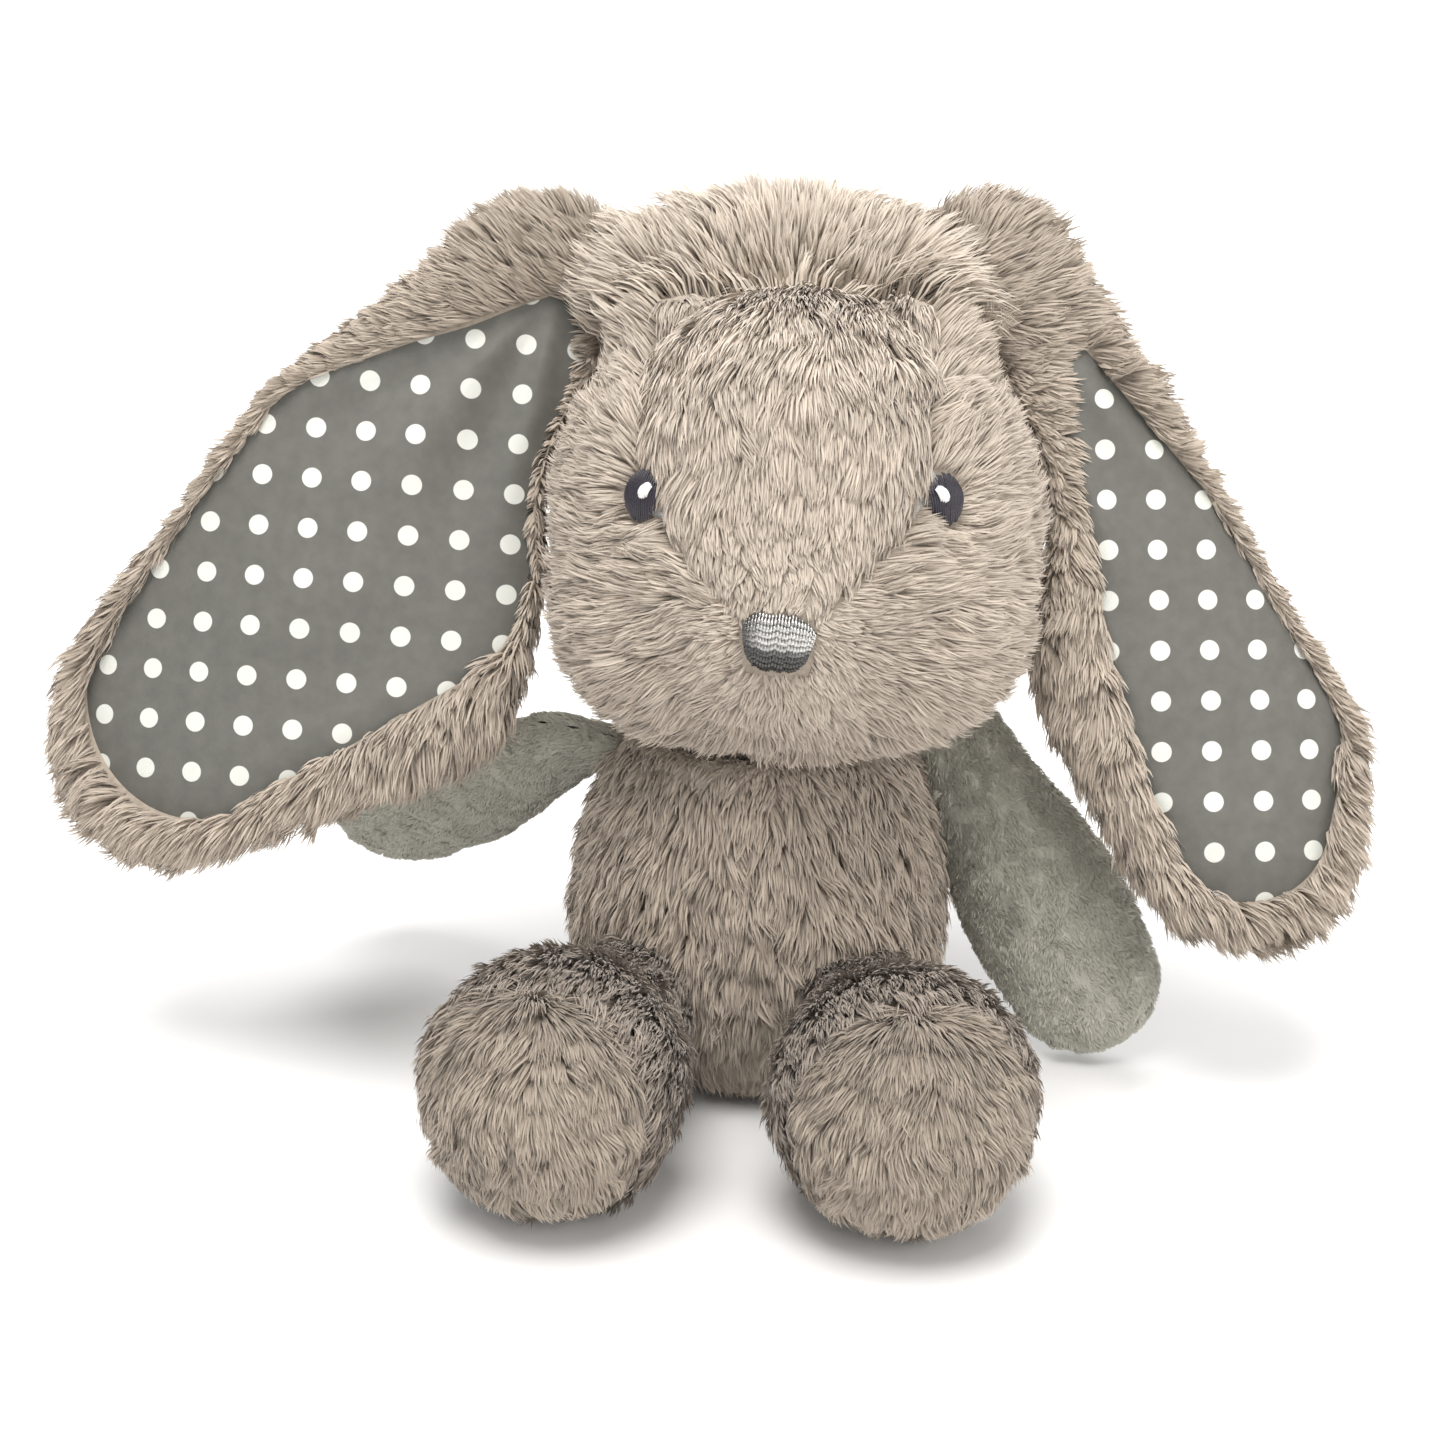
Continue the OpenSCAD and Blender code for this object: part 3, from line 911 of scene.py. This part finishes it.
for side, name in ((1, "left"), (-1, "right")):
    hip, turn = leg_frame(side)
    v, t = leg_surface()
    n = vertex_normals(v, t)
    if (n[70 * LEG_AROUND] @ (v[70 * LEG_AROUND] - [0, 0, LEG_LEN])) < 0:
        t, n = t[:, ::-1], -n
    mid_z = v[t].mean(1)[:, 2]
    place = lambda x, hip=hip, turn=turn: x @ turn.T + hip
    up = turn.T @ np.array([0, 0, 1.0])
    rng = np.random.default_rng(50 + side)
    mask = (mid_z < LEG_LEN + SOLE) & (mid_z > -6)
    pv, pt = keep_faces(v, t, mid_z < LEG_LEN + SOLE)
    p, nn, area = sample(v, n, t[mask], int(27000 * DENSITY), rng)
    nap = np.tile([0, 0, 1.0], (len(p), 1)) - up * 0.25
    rim = step(LEG_LEN - 6, LEG_LEN + 7, p[:, 2])
    length = 6.8 + 0.6 * rim
    lift = 20 + 4 * rim
    fur = strands(p, nn, nap, length, lift, rng, area, width=0.52, pitch=3.0, pull=0.45, messy=9, curve=35)
    # painted shade: the cover's pile is the shaded copy, lightened toward the sole so that the shade fades
    # out at the seam
    fur[4][:] += np.repeat(1.3 * rim, 7)
    materials, node = [BACKING, FUR_SHADED], f"leg_{name}_cover"
    plush(f"{node}_plush", (pv, pt), place, [fur], materials, f"leg_{name}", [node])
    mask = mid_z >= LEG_LEN + SOLE
    pv, pt = keep_faces(v, t, mask)
    p, nn, area = sample(v, n, t[mask], int(24000 * DENSITY), rng)
    source = np.array([0, 0, LEG_LEN + 8.0]) + up * 33.0
    nap = unit(p - source) - up * 0.25
    brushed = dict(width=0.52, pitch=3.0, pull=0.42, messy=10, curve=34, sway=26)
    fur = strands(p, nn, nap, 7.6, 20, rng, area, **brushed)
    # painted shade: the sole's pile is darker toward its top, under the body
    fur[4][:] -= np.repeat(1.7 * step(6, 24, p @ up), 7)
    materials, node = [BACKING, FUR_FEET], f"leg_{name}_sole"
    plush(f"{node}_plush", (pv, pt), place, [fur], materials, f"leg_{name}", [node])


# ---------------------------------------------------------------- ears

EAR_LEAN, EAR_BEHIND = -22.0, -2.0
EAR_OFF_HEAD = 54.0  # an ear keeps this far from the middle of the head
AROUND = 220
DOT_PITCH = 10.9
# The rings of an ear's plush, as a part of the way out and a depth. In front they go from inside the
# lining's edge to the outer edge, and behind from the outer edge to the middle.
FRONT_RINGS = [
    (-0.18, 1.4), (0.0, 0.2), (0.15, -0.9), (0.35, -1.6), (0.6, -1.4), (0.8, -0.3), (0.93, 1.0), (1.0, 2.6)
]
BACK_RINGS = [(0.985, 3.6), (0.95, 4.3), (0.88, 4.7), (0.75, 4.9)]
BACK_RINGS += [(s, 5.0) for s in (0.6, 0.45, 0.3, 0.15, 0.001)]
EARS = {
    "left": dict(
        outline=[(41.3, 54.5, 15), (74, -2, 21), (98, -48, 26), (97, -65, 25.5), (67, -32, 15)],
        window=[(60, 34, 4), (78, -3, 15), (101, -48, 19), (97.5, -63.5, 18.5), (76, -34, 8)],
        bend_x=62.0,
        bend_r=65.0,
        bend_turn=-25.0,
        middle=(84.0, -24.0),
        tilt=1.0,
        shift=(0.35, 0.2),
        folds=(15, 8),
        top=(0.8, 0.0, 0.6),
    ),
    "right": dict(
        outline=[(-52, 53.5, 17), (-90, 3, 36), (-136, -45, 28), (-84, -31, 24)],
        window=[(-50, 45, 5), (-92, 2, 31), (-130, -38, 26.5), (-70, -17, 14)],
        bend_x=-92.0,
        bend_r=130.0,
        bend_turn=0.0,
        middle=(-96.0, -4.0),
        tilt=-4.5,
        shift=(0.1, 0.4),
        folds=(11, 9),
        top=(-0.62, 0.0, 0.78),
    ),
}


def hull_of(circles):
    """The convex outline of circles, as points anticlockwise."""
    a = np.linspace(0, 2 * np.pi, 73)[:-1]
    pts = np.concatenate([np.stack([x + r * np.cos(a), z + r * np.sin(a)], -1) for x, z, r in circles])
    pts = pts[np.lexsort((pts[:, 1], pts[:, 0]))]

    def half(points):
        out = []
        for q in points:
            while len(out) > 1 and np.cross(out[-1] - out[-2], q - out[-2]) <= 0:
                out.pop()
            out.append(q)
        return out[:-1]

    return np.array(half(pts) + half(pts[::-1]))


def edge_distance(hull, centre, angles):
    """How far the convex outline is from centre at each angle."""
    d = np.stack([np.cos(angles), np.sin(angles)], -1)
    a, b = hull - centre, np.roll(hull, -1, 0) - centre
    e = b - a
    cross = lambda u, w: u[..., 0] * w[..., 1] - u[..., 1] * w[..., 0]
    den = cross(d[:, None], e[None])
    with np.errstate(divide="ignore", invalid="ignore"):
        s = cross(a[None], e[None]) / den
        u = cross(a[None], d[:, None]) / den
    ok = (s > 0) & (u >= -1e-6) & (u <= 1 + 1e-6) & (np.abs(den) > 1e-9)
    return np.where(ok, s, 0).max(1)


def ear_point(ear, xz, depth):
    """A point of an ear: xz in the plane of the ear, depth behind its front face."""
    t = math.radians(ear["bend_turn"])
    off = (xz[:, 0] - ear["bend_x"]) * math.cos(t) - xz[:, 1] * math.sin(t)
    r = ear["bend_r"]
    off = np.clip(off, -r * 0.95, r * 0.95)
    y = r - np.sqrt(r * r - off * off) + depth * (1 + 0.2 * (off / r) ** 2)
    p = np.stack([xz[:, 0], y + EAR_BEHIND, xz[:, 1]], -1)
    return p @ rot("x", EAR_LEAN).T + HEAD


def folds(ear, xz):
    """Soft folds of the lining, positive toward the viewer."""
    root = np.array(ear["outline"][0][:2])
    r = xz - root
    far_off = np.linalg.norm(r, axis=1)
    angle = np.arctan2(r[:, 1], r[:, 0])
    count, seed = ear["folds"]
    fan = np.sin(angle * count + 0.8 + 0.5 * np.sin(far_off / 19)) * step(120, 25, far_off)
    p3 = np.stack([xz[:, 0], xz[:, 1], 0 * far_off], -1)
    return 1.3 * fan + 1.0 * waves(p3, seed, 46, 2)


for name, ear in EARS.items():
    angles = np.arange(AROUND) * 2 * np.pi / AROUND
    mid2 = np.array(ear["middle"])
    far_edge = edge_distance(hull_of(ear["outline"]), mid2, angles)
    near_edge = np.minimum(edge_distance(hull_of(ear["window"]), mid2, angles), far_edge - 3)
    way = np.stack([np.cos(angles), np.sin(angles)], -1)
    toward = -(way @ mid2)
    inside = toward**2 - (mid2 @ mid2 - EAR_OFF_HEAD**2)
    head_edge = np.where((inside > 0) & (toward > 0), toward - np.sqrt(np.maximum(inside, 0)), 1e3)
    far_edge = np.minimum(far_edge, head_edge)
    near_edge = np.minimum(near_edge, far_edge - 3)
    rows, depths = [], []
    for s, dep in FRONT_RINGS:
        rows.append((near_edge + (far_edge - 1.5 - near_edge) * s)[:, None] * way)
        depths.append(np.full(AROUND, dep))
    for s, dep in BACK_RINGS:
        rows.append(((far_edge - 1.5) * s)[:, None] * way)
        depths.append(np.full(AROUND, dep))
    flat = np.concatenate(rows) + mid2
    depth = np.concatenate(depths)
    soft = waves(np.stack([flat[:, 0], flat[:, 1], 0 * depth], -1), 31, 50, 2)
    depth = depth + soft * np.where(np.arange(len(flat)) >= len(FRONT_RINGS) * AROUND, 0.8, 0.3)
    v = ear_point(ear, flat, depth)
    t = split(grid_quads(len(rows), AROUND))
    n = vertex_normals(v, t)
    forward = rot("x", EAR_LEAN) @ np.array([0, -1.0, 0])
    if (n[3 * AROUND : 4 * AROUND] @ forward).mean() < 0:
        t, n = t[:, ::-1], -n
    rng = np.random.default_rng(60 + len(name))
    face_row = (t // AROUND).min(1)
    back = face_row > len(FRONT_RINGS)
    crown = HEAD + [0, 20.0, 40.0]
    mid3 = ear_point(ear, mid2[None], np.array([2.0]))[0]
    fur = []
    for part, count in ((~back & (face_row >= 1), 21000), (back, 17000)):
        p, nn, area = sample(v, n, t[part], int(count * DENSITY), rng)
        out = unit(p - mid3)
        down = unit(p - crown)
        fall = np.array([0, 0, -1.0])
        nap = down * 1.0 + out * 0.6 + fall * 0.35
        front = (nn @ forward) > 0.2
        top_side = step(0.2, 0.75, out @ np.array(ear["top"]))
        top_side *= step(55, 85, np.linalg.norm(p - crown, axis=1))
        by_head = 0.4 + 0.6 * step(EAR_OFF_HEAD, 68, np.linalg.norm(p - HEAD, axis=1))
        length = np.where(front, 8.5, 9.0) * (1 - 0.45 * top_side) * by_head
        lift = np.where(front, 24.0, 26.0) * (1 - 0.5 * top_side)
        fur.append(strands(p, nn, nap, length, lift, rng, area, width=0.54, pitch=3.0, pull=0.45, messy=9))
    node = f"ear_{name}_back"
    plush(f"{node}_plush", (v, t), lambda x: x, fur, [BACKING, FUR], f"ear_{name}", [node])

    steps = np.linspace(0, 1, 46)
    reach = near_edge + 1.2
    flat = np.concatenate([(reach * s)[:, None] * way for s in np.maximum(steps, 1e-3)]) + mid2
    edge = np.repeat(steps, AROUND)
    puff = folds(ear, flat) * step(1.0, 0.72, edge)
    front_v = ear_point(ear, flat, 0.9 * edge**6 - 0.6 - puff)
    back_v = ear_point(ear, flat, 0.9 * edge**6 - 0.2 - puff)
    quads = grid_quads(len(steps), AROUND)
    count = len(front_v)
    rim = (len(steps) - 1) * AROUND + np.arange(AROUND)
    nxt = (len(steps) - 1) * AROUND + (np.arange(AROUND) + 1) % AROUND
    edge_quads = np.stack([rim, nxt, nxt + count, rim + count], -1)
    quads = np.concatenate([quads, (quads + count)[:, ::-1], edge_quads])
    a = math.radians(ear["tilt"])
    turned = flat @ np.array([[math.cos(a), -math.sin(a)], [math.sin(a), math.cos(a)]])
    uv = turned / DOT_PITCH + np.array(ear["shift"])
    both, uv = np.concatenate([front_v, back_v]), np.concatenate([uv, uv])
    ob = mesh_object(f"ear_{name}_lining_cloth", both, quads, materials=[LINING], uv=uv)
    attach(ob, f"ear_{name}")
    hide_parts(f"ear_{name}_lining")


# ---------------------------------------------------------------- arms

ARM_LEN, ARM_END, SHOULDER_R, FLAT, WIDE = 62.0, 17.0, 11.0, 0.46, 0.68
ARMS = {
    "left": dict(turn=rot("y", -29.0) @ rot("x", -14.0), twist=0.0, tuck=[-9.0, 0, -4.0]),
    "right": dict(turn=rot("y", 52.5) @ rot("x", 32.0), twist=25.0, tuck=[9.0, 0, -4.0]),
}


def arm_rings():
    """Distance from the shoulder and half width of the arm along its length."""
    out = []
    for s in np.linspace(-SHOULDER_R, 0, 14):
        out.append((s, math.sqrt(max(SHOULDER_R**2 - s * s, 0.0))))
    for s in np.linspace(0, ARM_LEN * WIDE, 30)[1:]:
        k = s / (ARM_LEN * WIDE)
        out.append((s, SHOULDER_R + (ARM_END + 1.5 - SHOULDER_R) * (0.35 * k + 0.65 * k * k * (3 - 2 * k))))
    for s in np.linspace(ARM_LEN * WIDE, ARM_LEN, 14)[1:]:
        k = (s - ARM_LEN * WIDE) / (ARM_LEN * (1 - WIDE))
        out.append((s, ARM_END + 1.5 * (1 - k * k)))
    for a in np.linspace(0, np.pi / 2, 22)[1:]:
        out.append((ARM_LEN + ARM_END * math.sin(a), ARM_END * math.cos(a)))
    return np.array(out)


for name, arm in ARMS.items():
    shoulder = JOINTS[f"arm_{name}_raise"]
    m = arm["turn"] @ rot("z", arm["twist"])
    rings = arm_rings()
    across = 60
    u = np.sin(np.linspace(-np.pi / 2, np.pi / 2, across + 1))
    for face, sign in (("front", -1), ("back", 1)):
        s = rings[:, 0][:, None] + 0 * u
        w = np.maximum(rings[:, 1], 0.05)[:, None]
        x = w * u
        lens = np.clip(1 - np.abs(u) ** 2.3, 0, 1) ** 0.62
        y = sign * FLAT * w * lens
        pinch = np.abs(u) ** 8
        y = y + sign * 0.35 * pinch * np.sin(s * 1.9) * (w > 3)
        v = np.stack([x, y, -s], -1).reshape(-1, 3)
        soft = waves(v, 71, 34, 2) * np.repeat(step(4, 12, rings[:, 1]), across + 1)
        v[:, 1] += sign * 0.7 * soft * np.tile(lens, len(rings))
        rows, cols = len(rings), across + 1
        i, j = np.meshgrid(np.arange(rows - 1), np.arange(cols - 1), indexing="ij")
        corners = [i * cols + j, i * cols + j + 1, (i + 1) * cols + j + 1, (i + 1) * cols + j]
        t = split(np.stack(corners, -1).reshape(-1, 4))
        n = vertex_normals(v, t)
        if (n[:, 1] * sign).mean() < 0:
            t, n = t[:, ::-1], -n
        rng = np.random.default_rng(80 + sign)
        p, nn, area = sample(v, n, t, int(26000 * DENSITY), rng)
        nap = np.tile([0, 0, -1.0], (len(p), 1))
        fuzz = strands(p, nn, nap, 1.7, 28.0, rng, area, width=0.26, pitch=2.6, pull=0.15, messy=22)
        sets = merge([cloth_set(v, t, 0.3), fuzz])
        tuck = step(0, SHOULDER_R, sets[0][:, 2])[:, None]
        place = sets[0] @ m.T + shoulder + tuck * arm["tuck"]
        attrs = {"tone": sets[3], "tint": sets[4]}
        ob = mesh_object(f"arm_{name}_{face}_minky", place, sets[1], sets[2], [MINKY], attrs=attrs)
        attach(ob, f"arm_{name}")
        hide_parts(f"arm_{name}_{face}")


# ---------------------------------------------------------------- inner pieces keep their CAD shape

for part, material in (("stuffing", FILLING), ("bead_fill", BEADS), ("bead_pouch", MINKY)):
    for node, ob in frame["nodes"].items():
        if part in node:
            for s in ob.material_slots:
                s.material = material

# ---------------------------------------------------------------- floor, light and camera

FLOOR_HALF, FLOOR_Z = 4000.0, -0.2
floor_k = Nodes("floor_paper")
paper = floor_k.ramp(floor_k.noise(3.0), [(0.3, (0.86, 0.86, 0.86)), (0.7, (0.88, 0.88, 0.88))])
floor_m = floor_k.set(Base_Color=paper, Roughness=0.9)
corners = [[x * FLOOR_HALF, y * FLOOR_HALF, FLOOR_Z] for x, y in ((-1, -1), (1, -1), (1, 1), (-1, 1))]
floor = mesh_object("floor", corners, [[0, 1, 2, 3]], materials=[floor_m])


LIT = (0, 0, 0.08)  # the point the lamps face, in metres


def area_light(name, place, size, power, colour=(1, 1, 1)):
    data = bpy.data.lights.new(name, "AREA")
    data.shape, data.size, data.energy, data.color = "DISK", size, power, colour
    ob = collection_link(bpy.data.objects.new(name, data))
    ob.location = place
    ob.rotation_euler = (Vector(LIT) - ob.location).to_track_quat("-Z", "Y").to_euler()


area_light("key", (-0.15, -0.55, 2.1), 1.3, 40, (1.0, 0.985, 0.96))
area_light("fill", (1.0, -1.3, 0.9), 1.0, 9, (1.0, 0.98, 0.94))
area_light("back", (0.2, 1.5, 1.7), 1.4, 26)
world = bpy.data.worlds.new("studio")
world.use_nodes = True
sky = world.node_tree
seen = sky.nodes.new("ShaderNodeLightPath").outputs["Is Camera Ray"]
glow = sky.nodes.new("ShaderNodeMapRange")
glow.inputs["To Min"].default_value, glow.inputs["To Max"].default_value = 0.62, 0.98
sky.links.new(seen, glow.inputs["Value"])
sky.links.new(glow.outputs[0], sky.nodes["Background"].inputs[1])
sky.nodes["Background"].inputs[0].default_value = (1.0, 1.0, 1.0, 1)
bpy.context.scene.world = world
bpy.context.scene.view_settings.view_transform = "Standard"

cam_data = bpy.data.cameras.new("camera")
cam_data.lens, cam_data.sensor_width = 69.2, 36.0
cam_data.clip_start, cam_data.clip_end = 0.05, 20
cam = collection_link(bpy.data.objects.new("camera", cam_data))
lean = math.radians(22)  # the camera looks down by this
u, f = np.array([0, math.sin(lean), math.cos(lean)]), np.array([0, math.cos(lean), -math.sin(lean)])
cam.location = (HEAD - np.array([15.7, 0, 0]) - 43.5 * u - 600 * f) * MM
cam.rotation_euler = (math.radians(90) - lean, 0, 0)
bpy.context.scene.camera = cam
